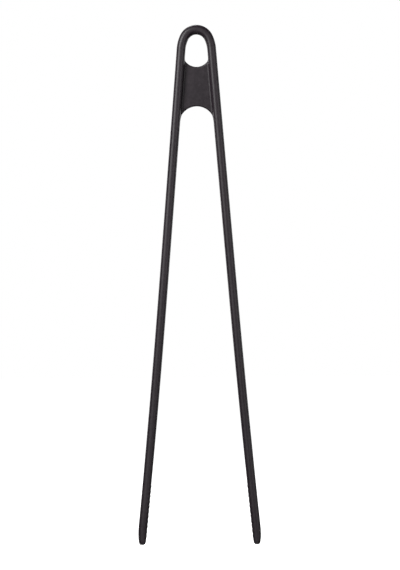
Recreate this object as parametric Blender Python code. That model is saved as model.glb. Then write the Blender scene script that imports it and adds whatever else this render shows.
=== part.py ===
"""Spring loaded kitchen tongs, hanging by their loop.

A strip of spring steel is bent round the loop and its two legs run down into the
arms. A nylon yoke screwed between the legs holds them apart, so each leg flexes
below the yoke and springs its arm open again. A stiff nylon core is riveted to
the end of each leg, and a silicone skin covers the lot, ribbed inside the tips.

The band is the bent strip's centre line. `along` is the distance down it from
the crown, the top of the loop, in metres: positive to the right (+X), negative
to the left. `n` is the distance from the band, positive outwards.

Units are metres. The origin is the top of the hanging hole, where a hook carries
the tongs. +Z is up, the arms spread along X, and +Y points to the back.
"""

import math

import bmesh
import bpy
from mathutils import Vector

MM = 0.001

# Overall size
LENGTH = 290 * MM
BAND_THICKNESS = 4.9 * MM  # across an arm, seen from the front
BAND_DEPTH = 13.0 * MM  # front to back
GAP = 0.3 * MM  # between touching pieces

# Outer outline of the loop, from the crown down
CROWN_RADIUS = 9.95 * MM
CROWN_SWEEP = math.radians(64.1)
SHOULDER_RADIUS = 20.9 * MM
SHOULDER_SWEEP = math.radians(21.3)

# The arms run nearly straight and then bow outwards a little
ARM_STRAIGHT_RADIUS = 95.0
ARM_STRAIGHT_LENGTH = 135 * MM
ARM_BOW_RADIUS = 6.6
ARM_BOW_LENGTH = 200 * MM

# Web between the legs: an arc above it closes the hanging hole, an arch below it
WEB_DEPTH = 5.0 * MM
WEB_TOP_RADIUS = 7.65 * MM
WEB_TOP_CENTRE = 15.65 * MM  # below the crown
WEB_BOTTOM_RADIUS = 9.85 * MM
WEB_BOTTOM_CENTRE = 55.1 * MM  # below the crown
WEB_FOOT_RISE = 3.0 * MM  # of the arch's ends above its centre, inside the legs

# Spring strip
STRIP_THICKNESS = 0.8 * MM
STRIP_DEPTH = 9.6 * MM
STRIP_EDGE = 0.1 * MM
FLEX_DROP = 81.0 * MM  # flexing line below the crown
LAP_LENGTH = 26.0 * MM  # of a leg inside its arm's core

# Yoke inside the web
YOKE_WALL = 1.1 * MM  # from the web's edges to the yoke, skin and gap
YOKE_DEPTH = 3.2 * MM
YOKE_TOP_DROP = 19.1 * MM  # shoulders beside the top arc, below the crown
YOKE_BOTTOM_DROP = 50.1 * MM  # feet beside the bottom arch, below the crown

# Screws that hold the legs to the yoke
SCREW_DROPS = (27.5 * MM, 41.0 * MM)
SCREW_SHANK_RADIUS = 0.7 * MM
SCREW_HEAD_RADIUS = 1.8 * MM
SCREW_HEAD_THICKNESS = 0.7 * MM
SCREW_REACH = 6.5 * MM  # from the band into the yoke
SCREW_SLOT_WIDTH = 0.5 * MM
SCREW_SLOT_DEPTH = 0.3 * MM

# Arm cores
CORE_THICKNESS = 2.8 * MM
CORE_DEPTH = 9.6 * MM
CORE_EDGE = 0.5 * MM
CORE_TIP_MARGIN = 6.0 * MM  # solid silicone below the core
KEY_DROPS = (135.0 * MM, 185.0 * MM, 235.0 * MM)  # skin pegs through the core
KEY_RADIUS = 1.3 * MM

# Rivets that hold the cores to the legs
RIVET_STEPS_BELOW_FLEX = (8.0 * MM, 20.0 * MM)
RIVET_SHANK_RADIUS = 0.9 * MM
RIVET_HEAD_RADIUS = 1.5 * MM
RIVET_HEAD_THICKNESS = 0.6 * MM

# Skin
SKIN_EDGE = 2.2 * MM  # rounding of the band's long edges
FLEX_SLIT = 0.6 * MM  # between the head's skin and an arm's skin
TIP_OUTER_LENGTH = 11.0 * MM  # the outer side draws in over this length
TIP_OUTER_INSET = 2.0 * MM
TIP_INNER_RADIUS = 1.7 * MM
TIP_SIDE_RADIUS = 2.0 * MM
TIP_EDGE_SHARE = 0.9  # of the thickness left, the most an edge rounds off
RIB_COUNT = 11
RIB_PITCH = 2.8 * MM
RIB_HEIGHT = 0.16 * MM
LOWEST_RIB = 4.5 * MM  # above the end of the arm
RIB_PROFILE = ((-0.26, 0.0), (-0.12, 1.0), (0.12, 1.0), (0.26, 0.0))  # pitches, heights

# Facets
LOOP_STEPS = 12  # from the crown to the end of the shoulder
LEG_STEPS = 4
ARM_STEPS = 8
TIP_STEPS = 5
EDGE_STEPS = 4
ARC_STEPS = 14
ROUND_STEPS = 20
SHARP_ANGLE = math.radians(35)

DROP_SEARCH_STEPS = 6  # enough to find a drop on the band to under a nanometre
PIVOT_MARK_SIZE = 5 * MM

HALF_BAND = BAND_THICKNESS / 2
CROWN_Z = BAND_THICKNESS  # the hole's top is the origin
BAND_ARCS = (
    (CROWN_RADIUS - HALF_BAND, CROWN_SWEEP),
    (SHOULDER_RADIUS - HALF_BAND, SHOULDER_SWEEP),
    (-ARM_STRAIGHT_RADIUS, ARM_STRAIGHT_LENGTH / ARM_STRAIGHT_RADIUS),
    (-ARM_BOW_RADIUS, ARM_BOW_LENGTH / ARM_BOW_RADIUS),
)
LOOP_END = sum(radius * sweep for radius, sweep in BAND_ARCS[:2])

SILICONE = ("silicone", (0.030, 0.028, 0.031), 0.55, 0.0)
NYLON = ("glass_filled_nylon", (0.045, 0.045, 0.048), 0.5, 0.0)
SPRING_STEEL = ("spring_steel", (0.56, 0.56, 0.58), 0.32, 1.0)
FIXING_STEEL = ("fixing_steel", (0.62, 0.61, 0.60), 0.25, 1.0)


# The band


def band_frame(along):
    """The band's point and its outward normal."""
    side = -1.0 if along < 0 else 1.0
    remaining = abs(along)
    heading = 0.0
    x, z = 0.0, CROWN_Z - HALF_BAND
    for radius, sweep in BAND_ARCS:
        step = min(remaining, abs(radius) * sweep)
        turned = heading + step / radius
        x += radius * (math.sin(turned) - math.sin(heading))
        z += radius * (math.cos(turned) - math.cos(heading))
        heading = turned
        remaining -= step
    return Vector((side * x, 0, z)), Vector((side * math.sin(heading), 0, math.cos(heading)))


def along_at(drop):
    """How far along the right leg the band is `drop` below the crown."""
    along = drop
    for _ in range(DROP_SEARCH_STEPS):
        point, normal = band_frame(along)
        along += (point.z - (CROWN_Z - drop)) / normal.x
    return along


def band_x(drop):
    return band_frame(along_at(drop))[0].x


FLEX_ALONG = along_at(FLEX_DROP)
ARM_END = along_at(LENGTH)
HEAD_SKIN_END = FLEX_ALONG - FLEX_SLIT / 2
ARM_SKIN_START = FLEX_ALONG + FLEX_SLIT / 2
CORE_START = ARM_SKIN_START + GAP
CORE_END = ARM_END - CORE_TIP_MARGIN
STRIP_END = CORE_START + LAP_LENGTH


def spread(start, end, steps):
    return [start + (end - start) * i / steps for i in range(steps + 1)]


def loop_stations(reach):
    """Distances along the band from -reach to reach, closest round the loop."""
    down = spread(0, LOOP_END, LOOP_STEPS) + spread(LOOP_END, reach, LEG_STEPS)[1:]
    return [-along for along in reversed(down[1:])] + down


# Shapes


def section(along, outer, inner, half_depth, edge, steps=EDGE_STEPS):
    """A rounded rectangle square to the band, from n = -inner to n = outer."""
    point, normal = band_frame(along)
    ring = []
    corners = ((outer, 1), (-inner, 1), (-inner, -1), (outer, -1))
    for quarter, (n_side, y_sign) in enumerate(corners):
        n_centre = n_side - math.copysign(edge, n_side)
        y_centre = y_sign * (half_depth - edge)
        for i in range(steps + 1):
            angle = math.pi / 2 * (quarter + i / steps)
            n = n_centre + edge * math.cos(angle)
            y = y_centre + edge * math.sin(angle)
            ring.append(point + n * normal + Vector((0, y, 0)))
    return ring


def bar(stations, thickness, depth, edge):
    """A bar of one rounded section along the band."""
    half = thickness / 2
    return loft([section(s, half, half, depth / 2, edge, 1) for s in stations])


def loft(rings):
    """A closed mesh through rings of points, capped at both ends."""
    mesh = bmesh.new()
    layers = [[mesh.verts.new(point) for point in ring] for ring in rings]
    count = len(rings[0])
    for first, second in zip(layers, layers[1:]):
        for i in range(count):
            j = (i + 1) % count
            mesh.faces.new((first[i], first[j], second[j], second[i]))
    mesh.faces.new(reversed(layers[0]))
    mesh.faces.new(layers[-1])
    bmesh.ops.recalc_face_normals(mesh, faces=mesh.faces)
    return mesh


def turned(along, profile):
    """A round pin square to the band, through (n, radius) pairs."""
    point, normal = band_frame(along)
    down = normal.cross(Vector((0, 1, 0)))
    rings = []
    for n, radius in profile:
        ring = []
        for i in range(ROUND_STEPS):
            angle = math.tau * i / ROUND_STEPS
            rim = math.cos(angle) * down + math.sin(angle) * Vector((0, 1, 0))
            ring.append(point + n * normal + radius * rim)
        rings.append(ring)
    return loft(rings)


def plate(top_radius, top_drop, bottom_radius, bottom_drop, n_side, depth):
    """A plate between the legs, hollowed by an arc above and an arch below.

    Its sides run at n_side from the band, between the two drops.
    """
    top_centre = CROWN_Z - WEB_TOP_CENTRE
    bottom_centre = CROWN_Z - WEB_BOTTOM_CENTRE
    top_sweep = math.acos((top_drop - WEB_TOP_CENTRE) / top_radius)
    bottom_sweep = math.acos((WEB_BOTTOM_CENTRE - bottom_drop) / bottom_radius)
    outline = []
    for angle in spread(-top_sweep, top_sweep, ARC_STEPS):
        outline.append((top_radius * math.sin(angle), top_centre - top_radius * math.cos(angle)))
    for drop in (top_drop, bottom_drop):
        outline.append((band_x(drop) + n_side, CROWN_Z - drop))
    for angle in spread(bottom_sweep, -bottom_sweep, ARC_STEPS):
        x = bottom_radius * math.sin(angle)
        outline.append((x, bottom_centre + bottom_radius * math.cos(angle)))
    for drop in (bottom_drop, top_drop):
        outline.append((-band_x(drop) - n_side, CROWN_Z - drop))
    return loft([[Vector((x, y, z)) for x, z in outline] for y in (-depth / 2, depth / 2)])


def drawn_in(distance, length, inset):
    """How far an elliptical end has drawn in, `distance` before its tip."""
    if distance >= length:
        return 0.0
    return inset * (1 - math.sqrt(1 - (1 - distance / length) ** 2))


def arm_section(along, rib):
    """The arm's outer section, drawn in towards its tip and raised over a rib."""
    distance = ARM_END - abs(along)
    outer = HALF_BAND - drawn_in(distance, TIP_OUTER_LENGTH, TIP_OUTER_INSET)
    inner = HALF_BAND - drawn_in(distance, TIP_INNER_RADIUS, TIP_INNER_RADIUS)
    half_depth = BAND_DEPTH / 2 - drawn_in(distance, TIP_SIDE_RADIUS, TIP_SIDE_RADIUS)
    edge = min(SKIN_EDGE, TIP_EDGE_SHARE * outer, TIP_EDGE_SHARE * inner)
    return section(along, outer, inner + rib, half_depth, edge)


def rib_stations():
    """(along, height) pairs down the ribbed stretch of an arm."""
    pairs = []
    for i in reversed(range(RIB_COUNT)):
        middle = ARM_END - LOWEST_RIB - i * RIB_PITCH
        for pitches, height in RIB_PROFILE:
            pairs.append((middle + pitches * RIB_PITCH, height * RIB_HEIGHT))
    return pairs


def tip_stations():
    """Distances along an arm over its rounded end, closest at the very tip."""
    start = ARM_END - TIP_SIDE_RADIUS
    quarter = spread(0, math.pi / 2, TIP_STEPS)
    return [start + TIP_SIDE_RADIUS * math.sin(angle) for angle in quarter[1:]]


# Objects


def material(recipe):
    name, colour, roughness, metallic = recipe
    made = bpy.data.materials.new(name)
    made.use_nodes = True
    surface = made.node_tree.nodes["Principled BSDF"]
    surface.inputs["Base Color"].default_value = (*colour, 1.0)
    surface.inputs["Roughness"].default_value = roughness
    surface.inputs["Metallic"].default_value = metallic
    return made


def place(name, shape, pivot=None):
    """An object from a bmesh in world space, hung on its pivot if it has one."""
    if pivot:
        bmesh.ops.translate(shape, verts=shape.verts, vec=-pivot.location)
    mesh = bpy.data.meshes.new(name)
    shape.to_mesh(mesh)
    shape.free()
    placed = bpy.data.objects.new(name, mesh)
    placed.parent = pivot
    bpy.context.scene.collection.objects.link(placed)
    return placed


def piece(name, shape, recipe, pivot=None):
    made = place(name, shape, pivot)
    made.data.materials.append(material(recipe))
    made.data.shade_smooth()
    made.data.set_sharp_from_angle(angle=SHARP_ANGLE)
    return made


def combine(target, name, shape, operation):
    """Joins a shape to the target or cuts it away, and keeps it as a guide."""
    guide = place(name, shape, target.parent)
    guide.hide_render = True
    guide.display_type = "WIRE"
    boolean = target.modifiers.new(name, "BOOLEAN")
    boolean.operation = operation
    boolean.solver = "EXACT"
    boolean.object = guide
    return guide


def flex_pivot(name, side):
    pivot = bpy.data.objects.new(name, None)
    pivot.location = band_frame(side * FLEX_ALONG)[0]
    pivot.empty_display_size = PIVOT_MARK_SIZE
    bpy.context.scene.collection.objects.link(pivot)
    return pivot


# Fixings


def screw_profile(clearance):
    """(n, radius) pairs of a yoke screw, or of the space that it needs."""
    head_seat = STRIP_THICKNESS / 2 + GAP
    head_top = head_seat + SCREW_HEAD_THICKNESS
    return (
        (-SCREW_REACH - clearance, SCREW_SHANK_RADIUS + clearance),
        (head_seat - clearance, SCREW_SHANK_RADIUS + clearance),
        (head_seat - clearance, SCREW_HEAD_RADIUS + clearance),
        (head_top + clearance, SCREW_HEAD_RADIUS + clearance),
    )


def rivet_profile(clearance, overrun=0.0):
    """(n, radius) pairs of a flush rivet, or of the countersunk hole for it."""
    end = CORE_THICKNESS / 2
    neck = end - RIVET_HEAD_THICKNESS
    shank = RIVET_SHANK_RADIUS + clearance
    head = RIVET_HEAD_RADIUS + clearance
    return (
        (-end - overrun, head),
        (-end, head),
        (-neck, shank),
        (neck, shank),
        (end, head),
        (end + overrun, head),
    )


def shank_hole(along, radius, reach):
    return turned(along, ((-reach, radius), (reach, radius)))


def screw_alongs():
    """(name, along) of the four yoke screws."""
    names = ("upper", "lower")
    return [
        (f"{side_name}_{name}_yoke_screw", side * along_at(drop))
        for side_name, side in (("left", -1), ("right", 1))
        for name, drop in zip(names, SCREW_DROPS)
    ]


def rivet_alongs(side_name, side):
    """(name, along) of one arm's two rivets."""
    names = ("upper", "lower")
    return [
        (f"{side_name}_{name}_rivet", side * (FLEX_ALONG + step))
        for name, step in zip(names, RIVET_STEPS_BELOW_FLEX)
    ]


# The head


def build_spring_strip():
    strip = piece(
        "spring_strip",
        bar(loop_stations(STRIP_END), STRIP_THICKNESS, STRIP_DEPTH, STRIP_EDGE),
        SPRING_STEEL,
    )
    for name, along in screw_alongs():
        hole = shank_hole(along, SCREW_SHANK_RADIUS + GAP, STRIP_THICKNESS)
        combine(strip, f"{name}_strip_hole", hole, "DIFFERENCE")
    for side_name, side in (("left", -1), ("right", 1)):
        for name, along in rivet_alongs(side_name, side):
            hole = shank_hole(along, RIVET_SHANK_RADIUS + GAP, STRIP_THICKNESS)
            combine(strip, f"{name}_strip_hole", hole, "DIFFERENCE")


def build_yoke():
    side = -(STRIP_THICKNESS / 2 + GAP)
    shape = plate(
        WEB_TOP_RADIUS + YOKE_WALL,
        YOKE_TOP_DROP,
        WEB_BOTTOM_RADIUS + YOKE_WALL,
        YOKE_BOTTOM_DROP,
        side,
        YOKE_DEPTH,
    )
    yoke = piece("yoke", shape, NYLON)
    for name, along in screw_alongs():
        hole = turned(
            along,
            (
                (-SCREW_REACH - GAP, SCREW_SHANK_RADIUS + GAP),
                (HALF_BAND, SCREW_SHANK_RADIUS + GAP),
            ),
        )
        combine(yoke, f"{name}_yoke_hole", hole, "DIFFERENCE")


def build_yoke_screw(name, along):
    screw = piece(name, turned(along, screw_profile(0.0)), FIXING_STEEL)
    head_top = STRIP_THICKNESS / 2 + GAP + SCREW_HEAD_THICKNESS
    slot_along = math.copysign(SCREW_SLOT_WIDTH / 2, along)
    slot = loft(
        [
            section(
                along + step,
                head_top + SCREW_SLOT_DEPTH,
                -(head_top - SCREW_SLOT_DEPTH),
                SCREW_HEAD_RADIUS + SCREW_SLOT_DEPTH,
                STRIP_EDGE,
                1,
            )
            for step in (-slot_along, slot_along)
        ]
    )
    combine(screw, f"{name}_slot", slot, "DIFFERENCE")


def build_head_skin():
    stations = loop_stations(HEAD_SKIN_END)
    outer = [
        section(s, HALF_BAND, HALF_BAND, BAND_DEPTH / 2, SKIN_EDGE) for s in stations
    ]
    skin = piece("head_skin", loft(outer), SILICONE)
    web = plate(
        WEB_TOP_RADIUS,
        WEB_TOP_CENTRE + GAP,
        WEB_BOTTOM_RADIUS,
        WEB_BOTTOM_CENTRE - WEB_FOOT_RISE,
        0.0,
        WEB_DEPTH,
    )
    combine(skin, "web", web, "UNION")
    tunnel = bar(
        loop_stations(HEAD_SKIN_END + FLEX_SLIT),
        STRIP_THICKNESS + 2 * GAP,
        STRIP_DEPTH + 2 * GAP,
        STRIP_EDGE,
    )
    combine(skin, "strip_tunnel", tunnel, "DIFFERENCE")
    pocket = plate(
        WEB_TOP_RADIUS + YOKE_WALL - GAP,
        YOKE_TOP_DROP - GAP,
        WEB_BOTTOM_RADIUS + YOKE_WALL - GAP,
        YOKE_BOTTOM_DROP + GAP,
        0.0,
        YOKE_DEPTH + 2 * GAP,
    )
    combine(skin, "yoke_pocket", pocket, "DIFFERENCE")
    for name, along in screw_alongs():
        head_top = STRIP_THICKNESS / 2 + GAP + SCREW_HEAD_THICKNESS
        radius = SCREW_HEAD_RADIUS + GAP
        room = turned(along, ((0.0, radius), (head_top + GAP, radius)))
        combine(skin, f"{name}_head_room", room, "DIFFERENCE")


# The arms


def key_alongs(side):
    return [side * along_at(drop) for drop in KEY_DROPS]


def build_arm_core(side_name, side, pivot):
    shape = bar(
        [side * s for s in spread(CORE_START, CORE_END, ARM_STEPS)],
        CORE_THICKNESS,
        CORE_DEPTH,
        CORE_EDGE,
    )
    core = piece(f"{side_name}_arm_core", shape, NYLON, pivot)
    slot = bar(
        [side * s for s in (HEAD_SKIN_END, STRIP_END + GAP)],
        STRIP_THICKNESS + 2 * GAP,
        BAND_DEPTH,
        STRIP_EDGE,
    )
    combine(core, f"{side_name}_fork_slot", slot, "DIFFERENCE")
    for name, along in rivet_alongs(side_name, side):
        hole = turned(along, rivet_profile(GAP, GAP))
        combine(core, f"{name}_core_hole", hole, "DIFFERENCE")
    for i, along in enumerate(key_alongs(side)):
        hole = shank_hole(along, KEY_RADIUS + GAP, HALF_BAND)
        combine(core, f"{side_name}_key_hole_{i}", hole, "DIFFERENCE")


def build_rivet(name, along, pivot):
    piece(name, turned(along, rivet_profile(0.0)[1:-1]), FIXING_STEEL, pivot)


def build_arm_skin(side_name, side, pivot):
    ribs = rib_stations()
    smooth = spread(ARM_SKIN_START, ribs[0][0], ARM_STEPS)[:-1]
    stretches = [(s, 0.0) for s in smooth] + ribs + [(s, 0.0) for s in tip_stations()]
    outer = [arm_section(side * along, rib) for along, rib in stretches]
    skin = piece(f"{side_name}_arm_skin", loft(outer), SILICONE, pivot)
    cavity = bar(
        [side * s for s in spread(HEAD_SKIN_END, CORE_END + GAP, ARM_STEPS)],
        CORE_THICKNESS + 2 * GAP,
        CORE_DEPTH + 2 * GAP,
        CORE_EDGE,
    )
    hollow = combine(skin, f"{side_name}_core_cavity", cavity, "DIFFERENCE")
    for i, along in enumerate(key_alongs(side)):
        peg = shank_hole(along, KEY_RADIUS, HALF_BAND)
        combine(hollow, f"{side_name}_key_peg_{i}", peg, "DIFFERENCE")


def clear_scene():
    for existing in list(bpy.data.objects):
        bpy.data.objects.remove(existing, do_unlink=True)


def main():
    clear_scene()
    build_spring_strip()
    build_yoke()
    for name, along in screw_alongs():
        build_yoke_screw(name, along)
    build_head_skin()
    for side_name, side in (("left", -1), ("right", 1)):
        pivot = flex_pivot(f"{side_name}_flex_axis", side)
        build_arm_core(side_name, side, pivot)
        for name, along in rivet_alongs(side_name, side):
            build_rivet(name, along, pivot)
        build_arm_skin(side_name, side, pivot)


main()
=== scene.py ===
"""Looks of the spring loaded kitchen tongs, hanging by their loop.

The CAD skins are stood for by smooth ones with the same outlines. One covers the
loop, the web and the tops of the legs and rides on the head. A sleeve covers the
rest of each arm. The spring strip is stood for by a bow that rides on the head and
two legs. The yoke, screws, cores and rivets stay as the CAD made them, with
finished materials.

The band is the line down the middle of the loop and the arms. `along` is the
distance down it from the crown, positive to the right (+X) and negative to the
left. `n` is the distance from the band, positive outwards. Units are metres, with
+Z up, the arms spread along X and the front facing -Y.
"""

import math

import bmesh
import bpy
import numpy as np
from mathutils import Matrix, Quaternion, Vector


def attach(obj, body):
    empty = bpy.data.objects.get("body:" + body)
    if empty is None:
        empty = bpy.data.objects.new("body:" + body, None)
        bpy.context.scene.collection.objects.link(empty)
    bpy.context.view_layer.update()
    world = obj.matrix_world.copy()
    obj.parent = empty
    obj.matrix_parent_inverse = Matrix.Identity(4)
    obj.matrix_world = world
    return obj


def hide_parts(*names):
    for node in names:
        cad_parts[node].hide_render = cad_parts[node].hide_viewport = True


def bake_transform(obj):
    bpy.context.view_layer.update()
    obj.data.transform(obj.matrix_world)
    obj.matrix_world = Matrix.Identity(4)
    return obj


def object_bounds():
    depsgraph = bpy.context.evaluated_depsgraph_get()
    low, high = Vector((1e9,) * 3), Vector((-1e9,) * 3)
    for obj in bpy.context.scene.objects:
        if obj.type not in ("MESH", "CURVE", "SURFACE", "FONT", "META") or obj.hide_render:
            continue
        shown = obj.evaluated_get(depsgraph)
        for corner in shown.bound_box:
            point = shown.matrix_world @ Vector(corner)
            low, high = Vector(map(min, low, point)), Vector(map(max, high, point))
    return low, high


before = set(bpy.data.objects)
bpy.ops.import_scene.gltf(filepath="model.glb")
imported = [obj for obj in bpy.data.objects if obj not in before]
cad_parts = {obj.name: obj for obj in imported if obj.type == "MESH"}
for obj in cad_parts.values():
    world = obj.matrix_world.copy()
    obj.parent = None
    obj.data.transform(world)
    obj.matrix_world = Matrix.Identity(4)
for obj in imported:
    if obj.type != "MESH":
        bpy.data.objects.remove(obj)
cad_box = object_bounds()

MM = 0.001

# The band, as the CAD has it
LENGTH = 290 * MM
BAND_THICKNESS = 4.9 * MM  # across an arm, seen from the front
BAND_DEPTH = 13.0 * MM  # front to back
HALF_BAND = BAND_THICKNESS / 2
HALF_DEPTH = BAND_DEPTH / 2
CROWN_Z = BAND_THICKNESS  # the hole's top is the origin
CROWN_RADIUS = 9.95 * MM
CROWN_SWEEP = math.radians(64.1)
SHOULDER_RADIUS = 20.9 * MM
SHOULDER_SWEEP = math.radians(21.3)
ARM_STRAIGHT_RADIUS = 95.0  # nearly straight at first
ARM_STRAIGHT_LENGTH = 135 * MM
ARM_BOW_RADIUS = 6.6  # and then bowed outwards a little
ARM_BOW_LENGTH = 200 * MM
NOSE_RADIUS = 2.2 * MM  # rounding of the band's long edges

# Radius and sweep of the band's arcs from the crown down, negative where it turns outwards
BAND_ARCS = (
    (CROWN_RADIUS - HALF_BAND, CROWN_SWEEP),
    (SHOULDER_RADIUS - HALF_BAND, SHOULDER_SWEEP),
    (-ARM_STRAIGHT_RADIUS, ARM_STRAIGHT_LENGTH / ARM_STRAIGHT_RADIUS),
    (-ARM_BOW_RADIUS, ARM_BOW_LENGTH / ARM_BOW_RADIUS),
)

# The spring's bend
FLEX_DROP = 81.0 * MM  # flexing line below the crown
BEND_REACH = 23.5 * MM  # it bends over this length above and below that line

# Web, hollowed by an arc above it and an arch below it
WEB_HALF_DEPTH = 2.5 * MM
WEB_TOP_RADIUS = 7.65 * MM
WEB_TOP_Z = CROWN_Z - 15.65 * MM
WEB_BOTTOM_RADIUS = 9.85 * MM
WEB_BOTTOM_Z = CROWN_Z - 55.1 * MM
WEB_BOTTOM_SWEEP = math.radians(69)  # of half the arch, which ends in straight feet
WEB_EDGE = 0.7 * MM  # rounding of the web's own edges
WEB_FILLET = 0.8 * MM  # where the web meets the legs

# Tips
TIP_OUTER_LENGTH = 11.0 * MM  # the outer side draws in over this length
TIP_OUTER_INSET = 2.0 * MM
TIP_INNER_RADIUS = 1.7 * MM
TIP_SIDE_RADIUS = 2.0 * MM
RIB_COUNT = 11
RIB_PITCH = 2.8 * MM
RIB_HEIGHT = 0.16 * MM
LOWEST_RIB = 4.5 * MM  # above the end of the arm
RIB_SHARE = 0.27  # half a rib's width, in pitches

# Spring strip
STRIP_THICKNESS = 0.8 * MM
STRIP_DEPTH = 9.6 * MM
STRIP_EDGE = 0.25 * MM
STRIP_LAP = 26.6 * MM  # below the flexing line

# Net over the head's skin
NET_LOW = (-16.1 * MM, -7.1 * MM, -56.1 * MM)
NET_HIGH = (16.1 * MM, 7.1 * MM, 6.1 * MM)
NET_STEP = 0.35 * MM
NET_RELAXES = 6
SLOPE_STEP = 0.001 * MM
PROJECT_STEPS = 3
LEAST_STEEPNESS = 0.25  # keeps points near a crease from jumping
SEAM_ROOM = 6.5 * MM  # above the web's feet, more than the seam needs
SEAM_SNAP = 0.02 * MM

# Lofts
NOSE_STEPS = 8
SIDE_STEPS = 6
STRIP_EDGE_STEPS = 3
SLEEVE_STEP = 1.6 * MM
RIB_STEPS = 10
TIP_STEPS = 14
BOW_STEP = 0.8 * MM
WELD_REACH = 0.001 * MM

DROP_SEARCH_STEPS = 6  # enough to find a drop on the band to under a nanometre
SHARP_ANGLE = math.radians(40)
SIDES = (("left", -1), ("right", 1))


# The band


def band_frame(along):
    """The band's point and its outward normal."""
    side = -1.0 if along < 0 else 1.0
    remaining = abs(along)
    heading = 0.0
    x, z = 0.0, CROWN_Z - HALF_BAND
    for radius, sweep in BAND_ARCS:
        step = min(remaining, abs(radius) * sweep)
        turned = heading + step / radius
        x += radius * (math.sin(turned) - math.sin(heading))
        z += radius * (math.cos(turned) - math.cos(heading))
        heading = turned
        remaining -= step
    return Vector((side * x, 0, z)), Vector((side * math.sin(heading), 0, math.cos(heading)))


def along_at(drop):
    """How far along the right leg the band is `drop` below the crown."""
    along = drop
    for _ in range(DROP_SEARCH_STEPS):
        point, normal = band_frame(along)
        along += (point.z - (CROWN_Z - drop)) / normal.x
    return along


def arc_centres():
    """(centre x, centre z, signed radius, end heading) of the right half's arcs."""
    found = []
    along = 0.0
    heading = 0.0
    for radius, sweep in BAND_ARCS:
        point, normal = band_frame(along)
        heading += math.copysign(sweep, radius)
        found.append((point.x - radius * normal.x, point.z - radius * normal.z, radius, heading))
        along += abs(radius) * sweep
    return found


FLEX_ALONG = along_at(FLEX_DROP)
ARM_END = along_at(LENGTH)
SEAM = FLEX_ALONG - BEND_REACH
CENTRES = arc_centres()


def band_offset(x, z):
    """n of many points at once."""
    x = np.abs(x)
    offset = None
    for centre_x, centre_z, radius, end in reversed(CENTRES):
        reach = np.hypot(x - centre_x, z - centre_z)
        n = math.copysign(1, radius) * (reach - abs(radius))
        if offset is None:
            offset = n
        else:
            offset = np.where(np.arctan2(x - centre_x, z - centre_z) < end, n, offset)
    return offset


# The head's skin, as the zero surface of a distance field


def rounded_both(a, b, radius):
    """Where both fields are negative, with the edge between them rounded."""
    inside = np.minimum(np.maximum(a, b), -radius) + radius
    return inside + np.hypot(np.maximum(a + radius, 0), np.maximum(b + radius, 0)) - radius


def filleted_either(a, b, radius):
    """Where either field is negative, with a fillet in the corner between them."""
    outside = np.maximum(np.minimum(a, b), radius)
    return outside - np.hypot(np.maximum(radius - a, 0), np.maximum(radius - b, 0))


def arch_field(x, z):
    """Distance from the arch below the web, negative in the web, for x >= 0."""
    rise = z - WEB_BOTTOM_Z
    on_arc = np.arctan2(x, rise) < WEB_BOTTOM_SWEEP
    foot = x * math.sin(WEB_BOTTOM_SWEEP) + rise * math.cos(WEB_BOTTOM_SWEEP)
    return WEB_BOTTOM_RADIUS - np.where(on_arc, np.hypot(x, rise), foot)


def head_field(points):
    """Distance from the head's skin, negative inside it."""
    x, y, z = points.T
    depth = np.abs(y)
    n = band_offset(x, z)
    legs = rounded_both(np.abs(n) - HALF_BAND, depth - HALF_DEPTH, NOSE_RADIUS)
    arc = WEB_TOP_RADIUS - np.hypot(x, z - WEB_TOP_Z)
    arch = arch_field(np.abs(x), z)
    outline = np.maximum.reduce([arc, arch, n, z - WEB_TOP_Z, WEB_BOTTOM_Z - z])
    web = rounded_both(outline, depth - WEB_HALF_DEPTH, WEB_EDGE)
    return filleted_either(legs, web, WEB_FILLET)


def project(points, field):
    """The points moved onto the field's zero surface."""
    for _ in range(PROJECT_STEPS):
        slope = np.empty_like(points)
        for axis in range(3):
            step = np.zeros(3)
            step[axis] = SLOPE_STEP
            slope[:, axis] = (field(points + step) - field(points - step)) / (2 * SLOPE_STEP)
        steepness = np.maximum((slope**2).sum(1), LEAST_STEEPNESS)
        points = points - slope * (field(points) / steepness)[:, None]
    return points


def crossing_points(values, grid):
    """The mean of the crossings on each cell's edges, and how many there are."""
    cells = tuple(size - 1 for size in values.shape)
    total = np.zeros((*cells, 3))
    count = np.zeros(cells)
    for axis in range(3):
        low = np.moveaxis(values, axis, 0)[:-1]
        high = np.moveaxis(values, axis, 0)[1:]
        start = np.moveaxis(grid, axis, 0)[:-1]
        end = np.moveaxis(grid, axis, 0)[1:]
        crosses = (low < 0) != (high < 0)
        share = np.where(crosses, low / np.where(crosses, low - high, 1), 0)[..., None]
        where = np.where(crosses[..., None], start + share * (end - start), 0)
        for first in (0, 1):
            for second in (0, 1):
                rows = slice(first, crosses.shape[1] - 1 + first)
                columns = slice(second, crosses.shape[2] - 1 + second)
                total += np.moveaxis(where[:, rows, columns], 0, axis)
                count += np.moveaxis(crosses[:, rows, columns], 0, axis)
    return total, count


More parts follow.
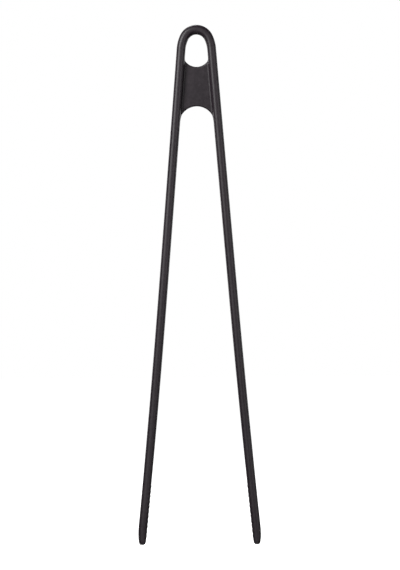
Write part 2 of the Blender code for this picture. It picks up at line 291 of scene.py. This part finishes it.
def surface_net(field, low, high, step):
    """Points and quads of the field's zero surface, a point in each cell it crosses."""
    axes = [np.arange(a, b + step, step) for a, b in zip(low, high)]
    grid = np.stack(np.meshgrid(*axes, indexing="ij"), axis=-1)
    values = field(grid.reshape(-1, 3)).reshape(grid.shape[:3])
    total, count = crossing_points(values, grid)
    crossed = count > 0
    index = np.full(count.shape, -1)
    index[crossed] = np.arange(crossed.sum())
    points = total[crossed] / count[crossed][:, None]
    quads = []
    for axis in range(3):
        order = (axis, (axis + 1) % 3, (axis + 2) % 3)
        ids = index.transpose(order)
        ends = values.transpose(order)[:, 1:-1, 1:-1] < 0
        i, j, k = np.nonzero(ends[:-1] != ends[1:])
        around = (ids[i, j, k], ids[i, j + 1, k], ids[i, j + 1, k + 1], ids[i, j, k + 1])
        faces = np.stack(around, axis=1)
        leaves = ends[:-1][i, j, k]
        faces[~leaves] = faces[~leaves][:, ::-1]
        quads.append(faces)
    return points, np.concatenate(quads)


def relaxed(points, quads, field):
    """The points spread evenly over the surface."""
    edges = np.concatenate([quads[:, [i, (i + 1) % 4]] for i in range(4)])
    edges = np.unique(np.sort(edges, axis=1), axis=0)
    both = np.concatenate([edges, edges[:, ::-1]])
    neighbours = np.bincount(both[:, 0], minlength=len(points))[:, None]
    for _ in range(NET_RELAXES):
        mean = np.zeros_like(points)
        for axis in range(3):
            mean[:, axis] = np.bincount(both[:, 0], points[both[:, 1], axis], len(points))
        points = project((points + mean / neighbours) / 2, field)
    return points


def cut_at_seam(shape, side):
    """Cuts a leg off square to the band at the seam."""
    point, normal = band_frame(side * SEAM)
    down = Vector((0, side, 0)).cross(normal)
    leg = [v for v in shape.verts if v.co.x * side > 0 and v.co.z < WEB_BOTTOM_Z + SEAM_ROOM]
    chosen = set(leg)
    edges = [e for e in shape.edges if chosen.issuperset(e.verts)]
    faces = [f for f in shape.faces if chosen.issuperset(f.verts)]
    bmesh.ops.bisect_plane(
        shape,
        geom=leg + edges + faces,
        dist=SEAM_SNAP,
        plane_co=point,
        plane_no=down,
        clear_outer=True,
    )


def build_head_skin():
    points, quads = surface_net(head_field, NET_LOW, NET_HIGH, NET_STEP)
    points = relaxed(project(points, head_field), quads, head_field)
    shape = bmesh.new()
    for point in points:
        shape.verts.new(point)
    shape.verts.ensure_lookup_table()
    for quad in quads.tolist():
        shape.faces.new([shape.verts[i] for i in quad])
    for side in (-1, 1):
        cut_at_seam(shape, side)
    rims = [e for e in shape.edges if e.is_boundary]
    caps = bmesh.ops.holes_fill(shape, edges=rims, sides=0)["faces"]
    bmesh.ops.poke(shape, faces=caps)
    skin = mesh_object("head_skin_moulding", shape, SILICONE)
    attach(skin, "head")
    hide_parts("head_skin")


# Lofted pieces


def spread(start, end, step):
    count = max(1, math.ceil(abs(end - start) / step))
    return [start + (end - start) * i / count for i in range(count + 1)]


def drawn_in(distance, length, inset):
    """How far an elliptical end has drawn in, `distance` before its tip."""
    if distance >= length:
        return 0.0
    return inset * (1 - math.sqrt(1 - (1 - distance / length) ** 2))


def rounded_ring(along, outer, inner, half_depth, edge, steps, rib=0.0):
    """A rounded rectangle square to the band, from n = -inner to n = outer.

    A rib raises its inner side and fades out round the edges.
    """
    point, normal = band_frame(along)
    corners = ((outer, 1), (-inner, 1), (-inner, -1), (outer, -1))
    outline = []
    for quarter, (n_side, y_sign) in enumerate(corners):
        n_centre = n_side - math.copysign(edge, n_side)
        y_centre = y_sign * (half_depth - edge)
        for i in range(steps + 1):
            angle = math.pi / 2 * (quarter + i / steps)
            n = n_centre + edge * math.cos(angle)
            y = y_centre + edge * math.sin(angle)
            outline.append((n, y, angle))
        a_long_side_follows = quarter % 2 == 1
        if a_long_side_follows:
            n_end, y_end, angle = outline[-1]
            for i in range(1, SIDE_STEPS):
                outline.append((n_end, y_end + (-y_centre - y_end) * i / SIDE_STEPS, angle))
    ring = []
    for n, y, angle in outline:
        raised = n - rib * math.sqrt(max(0.0, -math.cos(angle)))
        ring.append(point + raised * normal + Vector((0, y, 0)))
    return ring


def loft(rings):
    """A closed mesh through rings of points, capped at both ends."""
    shape = bmesh.new()
    layers = [[shape.verts.new(point) for point in ring] for ring in rings]
    count = len(rings[0])
    for first, second in zip(layers, layers[1:]):
        for i in range(count):
            j = (i + 1) % count
            shape.faces.new((first[i], first[j], second[j], second[i]))
    shape.faces.new(reversed(layers[0]))
    shape.faces.new(layers[-1])
    bmesh.ops.remove_doubles(shape, verts=shape.verts, dist=WELD_REACH)
    bmesh.ops.recalc_face_normals(shape, faces=shape.faces)
    return shape


def rib_height(along):
    """How far the ribs raise the inner side there."""
    place = (ARM_END - LOWEST_RIB - abs(along)) / RIB_PITCH
    nearest = min(max(round(place), 0), RIB_COUNT - 1)
    off = abs(place - nearest)
    if off >= RIB_SHARE:
        return 0.0
    return RIB_HEIGHT * math.cos(math.pi / 2 * (off / RIB_SHARE) ** 2)


def sleeve_ring(along):
    distance = ARM_END - abs(along)
    outer = HALF_BAND - drawn_in(distance, TIP_OUTER_LENGTH, TIP_OUTER_INSET)
    inner = HALF_BAND - drawn_in(distance, TIP_INNER_RADIUS, TIP_INNER_RADIUS)
    half_depth = HALF_DEPTH - drawn_in(distance, TIP_SIDE_RADIUS, TIP_SIDE_RADIUS)
    edge = NOSE_RADIUS * (outer + inner) / BAND_THICKNESS
    return rounded_ring(along, outer, inner, half_depth, edge, NOSE_STEPS, rib_height(along))


def sleeve_stations():
    """Distances down an arm, closest over the ribs and the rounded tip."""
    ribs_start = ARM_END - LOWEST_RIB - (RIB_COUNT - 0.5) * RIB_PITCH
    ribs_end = ARM_END - LOWEST_RIB + RIB_PITCH / 2
    tip = [
        ribs_end + (ARM_END - ribs_end) * math.sin(math.pi / 2 * i / TIP_STEPS)
        for i in range(TIP_STEPS + 1)
    ]
    return (
        spread(SEAM, ribs_start, SLEEVE_STEP)[:-1]
        + spread(ribs_start, ribs_end, RIB_PITCH / RIB_STEPS)[:-1]
        + tip
    )


def bend_with(obj, side):
    """Bakes obj's placement into its mesh."""
    band_frame(side * SEAM)[0]
    band_frame(side * (FLEX_ALONG + BEND_REACH))[0]
    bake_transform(obj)


def build_sleeve(side_name, side):
    rings = [sleeve_ring(side * along) for along in sleeve_stations()]
    sleeve = mesh_object(f"{side_name}_arm_sleeve", loft(rings), SILICONE)
    bend_with(sleeve, side)
    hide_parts(f"{side_name}_arm_skin")


def strip_ring(along):
    half = STRIP_THICKNESS / 2
    return rounded_ring(along, half, half, STRIP_DEPTH / 2, STRIP_EDGE, STRIP_EDGE_STEPS)


def build_spring_strip():
    rings = [strip_ring(along) for along in spread(-SEAM, SEAM, BOW_STEP)]
    bow = mesh_object("spring_bow", loft(rings), SPRING_STEEL)
    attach(bow, "head")
    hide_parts("spring_strip")
    for side_name, side in SIDES:
        stations = spread(SEAM, FLEX_ALONG + STRIP_LAP, SLEEVE_STEP)
        rings = [strip_ring(side * along) for along in stations]
        leg = mesh_object(f"{side_name}_spring_leg", loft(rings), SPRING_STEEL)
        bend_with(leg, side)
        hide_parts("spring_strip")


def mesh_object(name, shape, material):
    mesh = bpy.data.meshes.new(name)
    shape.to_mesh(mesh)
    shape.free()
    mesh.materials.append(material)
    mesh.shade_smooth()
    mesh.set_sharp_from_angle(angle=SHARP_ANGLE)
    made = bpy.data.objects.new(name, mesh)
    bpy.context.scene.collection.objects.link(made)
    return made


# Materials

USUAL_NOISE = (0.3, 0.7)  # a noise seldom leaves this span


class Nodes:
    """Adds and links the nodes of one material, all placed by object coordinates."""

    def __init__(self, name, **sockets):
        self.material = bpy.data.materials.new(name)
        self.material.use_nodes = True
        self.tree = self.material.node_tree
        self.surface = self.tree.nodes["Principled BSDF"]
        self.place = self.tree.nodes.new("ShaderNodeTexCoord").outputs["Object"]
        for socket, value in sockets.items():
            self.surface.inputs[socket.replace("_", " ")].default_value = value

    def add(self, kind, inputs=(), **settings):
        node = self.tree.nodes.new(kind)
        for key, value in settings.items():
            setattr(node, key, value)
        for key, value in dict(inputs).items():
            if isinstance(value, bpy.types.NodeSocket):
                self.tree.links.new(value, node.inputs[key])
            else:
                node.inputs[key].default_value = value
        return node

    def noise(self, scale, detail=3.0, roughness=0.55, stretch=(1, 1, 1)):
        """A noise with `scale` features to the metre, stretched by its axes' shares."""
        mapping = self.add("ShaderNodeMapping", {"Vector": self.place, "Scale": stretch})
        inputs = {
            "Vector": mapping.outputs["Vector"],
            "Scale": scale,
            "Detail": detail,
            "Roughness": roughness,
        }
        return self.add("ShaderNodeTexNoise", inputs).outputs["Fac"]

    def mixed(self, a, b, share):
        inputs = {"Factor": share, "A": a, "B": b}
        return self.add("ShaderNodeMix", inputs).outputs["Result"]

    def tones(self, value, low, dark, high, light):
        """The surface's colour, from dark at `low` to light at `high`."""
        ramp = self.add("ShaderNodeValToRGB", {"Fac": value})
        for element, position, colour in zip(
            ramp.color_ramp.elements, (low, high), (dark, light)
        ):
            element.position = position
            element.color = (*colour, 1.0)
        self.tree.links.new(ramp.outputs["Color"], self.surface.inputs["Base Color"])

    def roughness(self, value, low, high):
        """The surface's roughness, from `low` to `high` over the usual noise."""
        inputs = {
            "Value": value,
            "From Min": USUAL_NOISE[0],
            "From Max": USUAL_NOISE[1],
            "To Min": low,
            "To Max": high,
        }
        made = self.add("ShaderNodeMapRange", inputs)
        self.tree.links.new(made.outputs["Result"], self.surface.inputs["Roughness"])

    def bumps(self, *layers):
        """The surface's normal, from (height, strength, distance) layers."""
        normal = None
        for height, strength, distance in layers:
            inputs = {"Height": height, "Strength": strength, "Distance": distance}
            if normal:
                inputs["Normal"] = normal
            normal = self.add("ShaderNodeBump", inputs).outputs["Normal"]
        self.tree.links.new(normal, self.surface.inputs["Normal"])


def silicone():
    """Matt black silicone with a fine mould texture."""
    made = Nodes("silicone", Specular_IOR_Level=0.5)
    broad = made.noise(90, stretch=(1, 1, 0.35))
    mottle = made.noise(620)
    fine = made.noise(2400, detail=2.0)
    tone = made.mixed(made.mixed(broad, mottle, 0.55), fine, 0.25)
    made.tones(tone, 0.40, (0.0116, 0.0066, 0.0104), 0.60, (0.0220, 0.0144, 0.0200))
    made.roughness(made.mixed(fine, mottle, 0.5), 0.38, 0.50)
    made.bumps((fine, 0.3, 0.03 * MM), (made.noise(350), 0.25, 0.08 * MM))
    return made.material


def nylon():
    """Black nylon with short glass fibres under its surface."""
    made = Nodes("glass_filled_nylon", Specular_IOR_Level=0.5)
    fibres = made.noise(1800, detail=4.0, stretch=(1, 1, 0.12))
    cloud = made.noise(160)
    made.tones(made.mixed(fibres, cloud, 0.3), 0.35, (0.03, 0.03, 0.033), 0.72, (0.075, 0.075, 0.078))
    made.roughness(cloud, 0.42, 0.6)
    made.bumps((fibres, 0.35, 0.03 * MM))
    return made.material


def spring_steel():
    """Rolled spring steel with lines along its length and a faint temper tint."""
    made = Nodes("spring_steel", Metallic=1.0)
    rolled = made.noise(2600, detail=5.0, stretch=(1, 1, 0.03))
    cloud = made.noise(70)
    made.tones(made.mixed(rolled, cloud, 0.45), 0.32, (0.40, 0.39, 0.40), 0.7, (0.60, 0.59, 0.58))
    made.roughness(rolled, 0.24, 0.42)
    made.bumps((rolled, 0.2, 0.01 * MM))
    return made.material


def fixing_steel():
    """Bright fixing steel with tool marks and a few dull spots."""
    made = Nodes("fixing_steel", Metallic=1.0)
    marks = made.noise(5200, detail=4.0, stretch=(1, 0.15, 1))
    spots = made.noise(900)
    made.tones(made.mixed(marks, spots, 0.4), 0.33, (0.47, 0.46, 0.45), 0.68, (0.68, 0.67, 0.65))
    made.roughness(spots, 0.2, 0.38)
    made.bumps((marks, 0.2, 0.008 * MM))
    return made.material


def dress(nodes, material):
    """Gives CAD nodes a finished material in place of their plain one."""
    for node in nodes:
        for material_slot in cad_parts[node].material_slots:
            material_slot.link = "OBJECT"
            material_slot.material = material


# Studio

CAMERA_DISTANCE = 2.2
CAMERA_TARGET = Vector((1.13 * MM, 0, -140.3 * MM))
CAMERA_ROLL = math.radians(0.39)  # the object leans this much in the photo
FRAME_HEIGHT = 318.7 * MM  # of the picture, at the object
FLOOR_GAP = 1.5 * MM  # the tips dip a little as the arms close
FLOOR_RADIUS = 4.0
FLOOR_SEGMENTS = 96
WORLD_STRENGTH = 0.052  # as the object sees it

# name, place, what it looks at, its sides and its power in watts
LIGHTS = (
    ("key", (-0.353, -0.485, 0.16), (0, 0, -0.06), (0.30, 0.30), 4.2),
    ("fill", (0.78, -1.04, 0.05), (0, 0, -0.06), (0.55, 0.5), 3.0),
    ("side", (0.897, -0.078, -0.05), (0, 0, -0.06), (0.25, 0.5), 0.65),
    ("low", (-0.129, -0.483, -0.25), (0, 0, -0.06), (0.25, 0.25), 0.22),
    ("bounce", (0, -0.08, -0.42), (0, 0, -0.285), (0.2, 0.1), 0.06),
    ("back_right", (0.58, 0.69, 0.0), (0, 0, -0.10), (0.3, 0.6), 1.5),
    ("back_left", (-0.58, 0.69, 0.0), (0, 0, -0.10), (0.3, 0.6), 1.5),
    ("back", (-0.2, 0.7, 0.8), (0, 0, -0.14), (0.5, 0.5), 5.0),
)


def floor_material():
    """White to the camera, whatever the lights do."""
    made = Nodes("pale_floor", Roughness=0.8, Emission_Color=(1, 1, 1, 1), Emission_Strength=1.0)
    made.tones(made.noise(3.0), 0.3, (0.86, 0.86, 0.86), 0.7, (0.9, 0.9, 0.9))
    return made.material


def build_floor():
    """A floor that neither lights the object nor shades it from the bounce light."""
    shape = bmesh.new()
    bmesh.ops.create_circle(shape, cap_ends=True, segments=FLOOR_SEGMENTS, radius=FLOOR_RADIUS)
    bmesh.ops.translate(shape, verts=shape.verts, vec=(0, 0, cad_box[0].z - FLOOR_GAP))
    floor = mesh_object("floor", shape, floor_material())
    floor.visible_diffuse = False
    floor.visible_glossy = False
    floor.visible_shadow = False


def build_world():
    """White to the camera and a dim grey to the object."""
    world = bpy.data.worlds.new("studio")
    bpy.context.scene.world = world
    world.use_nodes = True
    tree = world.node_tree
    seen = tree.nodes["Background"]
    seen.inputs["Color"].default_value = (1, 1, 1, 1)
    dim = tree.nodes.new("ShaderNodeBackground")
    dim.inputs["Color"].default_value = (0.95, 0.97, 1, 1)
    dim.inputs["Strength"].default_value = WORLD_STRENGTH
    rays = tree.nodes.new("ShaderNodeLightPath")
    mix = tree.nodes.new("ShaderNodeMixShader")
    tree.links.new(rays.outputs["Is Camera Ray"], mix.inputs["Fac"])
    tree.links.new(dim.outputs[0], mix.inputs[1])
    tree.links.new(seen.outputs[0], mix.inputs[2])
    tree.links.new(mix.outputs[0], tree.nodes["World Output"].inputs["Surface"])


def build_lights():
    for name, place, aim, sides, power in LIGHTS:
        data = bpy.data.lights.new(name, "AREA")
        data.shape = "RECTANGLE"
        data.size, data.size_y = sides
        data.energy = power
        light = bpy.data.objects.new(name, data)
        light.location = place
        light.rotation_mode = "QUATERNION"
        light.rotation_quaternion = (Vector(aim) - Vector(place)).to_track_quat("-Z", "Y")
        bpy.context.scene.collection.objects.link(light)


def build_camera():
    """The camera, whose sensor's width spans the picture's longer side, its height."""
    data = bpy.data.cameras.new("camera")
    data.lens = data.sensor_width * CAMERA_DISTANCE / FRAME_HEIGHT
    camera = bpy.data.objects.new("camera", data)
    camera.location = CAMERA_TARGET - Vector((0, CAMERA_DISTANCE, 0))
    camera.rotation_mode = "QUATERNION"
    forward = Vector((0, 1, 0))
    camera.rotation_quaternion = Quaternion(forward, CAMERA_ROLL) @ forward.to_track_quat("-Z", "Y")
    bpy.context.scene.collection.objects.link(camera)
    bpy.context.scene.camera = camera
    bpy.context.scene.view_settings.view_transform = "Standard"


SILICONE = silicone()
SPRING_STEEL = spring_steel()

build_head_skin()
for side_name, side in SIDES:
    build_sleeve(side_name, side)
build_spring_strip()
dress(["yoke", "left_arm_core", "right_arm_core"], nylon())
FIXINGS = [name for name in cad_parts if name.endswith(("screw", "rivet"))]
dress(FIXINGS, fixing_steel())
build_floor()
build_world()
build_lights()
build_camera()
